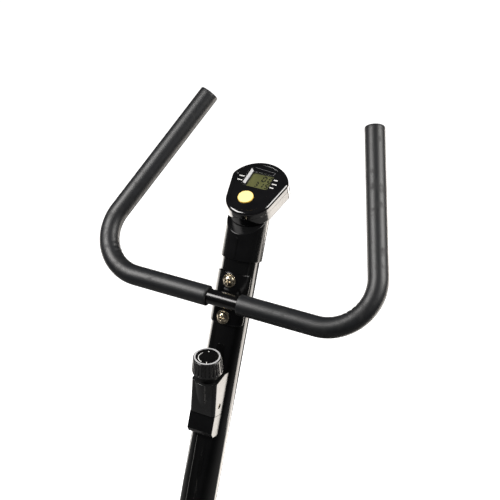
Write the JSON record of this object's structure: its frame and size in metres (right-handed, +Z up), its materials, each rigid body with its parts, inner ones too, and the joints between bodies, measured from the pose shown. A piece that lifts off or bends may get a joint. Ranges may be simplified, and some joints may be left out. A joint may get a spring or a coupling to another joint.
{
  "type": "exercise bike",
  "caption": "Upright magnetic exercise bike with leaning mast, U-shaped foam-grip handlebar, small console, tension knob, height-adjustable saddle, pedals and enclosed flywheel drive.",
  "frame": {"origin": "on the floor, under the middle of the bike's overall box", "axes": "+X to the rider's right, +Y forward, +Z up"},
  "size_m": [0.4966, 0.936, 1.243],
  "materials": {
    "painted_frame": "black gloss powder coat",
    "black_plastic": "fine-grained black moulding",
    "gloss_case": "gloss black moulding",
    "knob_plastic": "black moulding",
    "foam": "closed-cell foam",
    "nickel": "nickel plate",
    "steel": "machined",
    "chrome": "chrome plate",
    "iron": "turned",
    "pulley_plastic": "moulded",
    "rubber": "moulded rubber",
    "wheel_plastic": "moulded",
    "vinyl": "black grained vinyl",
    "yellow": "gloss",
    "window": "clear",
    "display": "grey-green liquid crystal",
    "board": "lacquered circuit board",
    "cells": "printed sleeve"
  },
  "bodies": {
    "frame": {"main_frame": "painted_frame", "front_stabilizer": "painted_frame", "rear_stabilizer": "painted_frame", "mast": "painted_frame", "handlebar": "painted_frame", "spine_plugs": "black_plastic", "front_end_caps": "black_plastic", "rear_end_caps": "black_plastic", "console_bracket": "black_plastic", "tension_housing": "black_plastic", "tension_lower_cover": "black_plastic", "handlebar_end_caps": "black_plastic", "left_cover": "black_plastic", "right_cover": "black_plastic", "seat_bush": "black_plastic", "console_front": "gloss_case", "console_back": "gloss_case", "battery_cover": "gloss_case", "left_grip": "foam", "right_grip": "foam", "handlebar_bolts": "nickel", "mast_bolts": "nickel", "stabilizer_bolts": "nickel", "case_screws": "nickel", "wheel_pins": "steel", "crank_bearings": "steel", "flywheel_axle": "steel", "idler_arm": "steel", "drive_belt": "rubber", "tension_cable": "rubber", "console_window": "window", "console_display": "display", "console_board": "board", "batteries": "cells"},
    "crank": {"crank_axle": "steel", "left_crank": "chrome", "right_crank": "chrome", "crank_bolts": "nickel", "drive_pulley": "pulley_plastic", "pedal_spindles": "steel"},
    "left_pedal": {"left_pedal": "black_plastic", "left_pedal_strap": "rubber"},
    "right_pedal": {"right_pedal": "black_plastic", "right_pedal_strap": "rubber"},
    "flywheel": {"flywheel": "iron", "flywheel_bearings": "steel"},
    "idler": {"idler_wheel": "pulley_plastic"},
    "magnet_carrier": {"magnet_arm": "steel", "magnets": "steel"},
    "knob": {"tension_knob": "knob_plastic", "tension_dial": "knob_plastic"},
    "button": {"mode_button": "yellow"},
    "seat": {"seat_post": "chrome", "saddle_pad": "vinyl", "saddle_shell": "black_plastic", "saddle_bolts": "nickel"},
    "height_pin": {"seat_pin": "knob_plastic"},
    "left_wheel": {"left_transport_wheel": "wheel_plastic"},
    "right_wheel": {"right_transport_wheel": "wheel_plastic"}
  },
  "joints": [
    {"name": "crank_spin", "type": "hinge", "parent": "frame", "child": "crank", "pos_m": [0, 0.01888, 0.29], "axis": [-1, 0, 0], "continuous": true},
    {"name": "left_pedal_spin", "type": "hinge", "parent": "crank", "child": "left_pedal", "pos_m": [-0.135, -0.14611, 0.29], "axis": [1, 0, 0], "continuous": true},
    {"name": "right_pedal_spin", "type": "hinge", "parent": "crank", "child": "right_pedal", "pos_m": [0.135, 0.18388, 0.29], "axis": [1, 0, 0], "continuous": true},
    {"name": "flywheel_spin", "type": "hinge", "parent": "frame", "child": "flywheel", "pos_m": [0, 0.22889, 0.3], "axis": [-1, 0, 0], "continuous": true},
    {"name": "idler_spin", "type": "hinge", "parent": "frame", "child": "idler", "pos_m": [0, 0.16545, 0.22735], "axis": [-1, 0, 0], "continuous": true},
    {"name": "tension_turn", "type": "hinge", "parent": "frame", "child": "knob", "pos_m": [0, 0.15012, 0.90424], "axis": [0, 0, 1], "range_deg": [0, 280]},
    {"name": "magnet_swing", "type": "hinge", "parent": "frame", "child": "magnet_carrier", "pos_m": [0, 0.35171, 0.28274], "axis": [-1, 0, 0], "range_deg": [0, 4]},
    {"name": "mode_press", "type": "slide", "parent": "frame", "child": "button", "axis": [0, 0.309, -0.9511], "range_m": [0, 0.0015], "stiffness_N_per_m": 300},
    {"name": "seat_height", "type": "slide", "parent": "frame", "child": "seat", "axis": [0, -0.2588, 0.9659], "range_m": [-0.05, 0.1]},
    {"name": "height_pin_pull", "type": "slide", "parent": "frame", "child": "height_pin", "axis": [0, -0.9659, -0.2588], "range_m": [0, 0.012], "stiffness_N_per_m": 700, "springref_m": -0.01},
    {"name": "left_wheel_spin", "type": "hinge", "parent": "frame", "child": "left_wheel", "pos_m": [-0.203, 0.432, 0.025], "axis": [1, 0, 0], "continuous": true},
    {"name": "right_wheel_spin", "type": "hinge", "parent": "frame", "child": "right_wheel", "pos_m": [0.203, 0.432, 0.025], "axis": [1, 0, 0], "continuous": true}
  ],
  "couplings": [
    {"joint": "crank_spin", "follows": "flywheel_spin", "ratio": 0.22},
    {"joint": "idler_spin", "follows": "flywheel_spin", "ratio": -1.4667},
    {"joint": "magnet_swing", "follows": "tension_turn", "ratio": 0.014286}
  ]
}
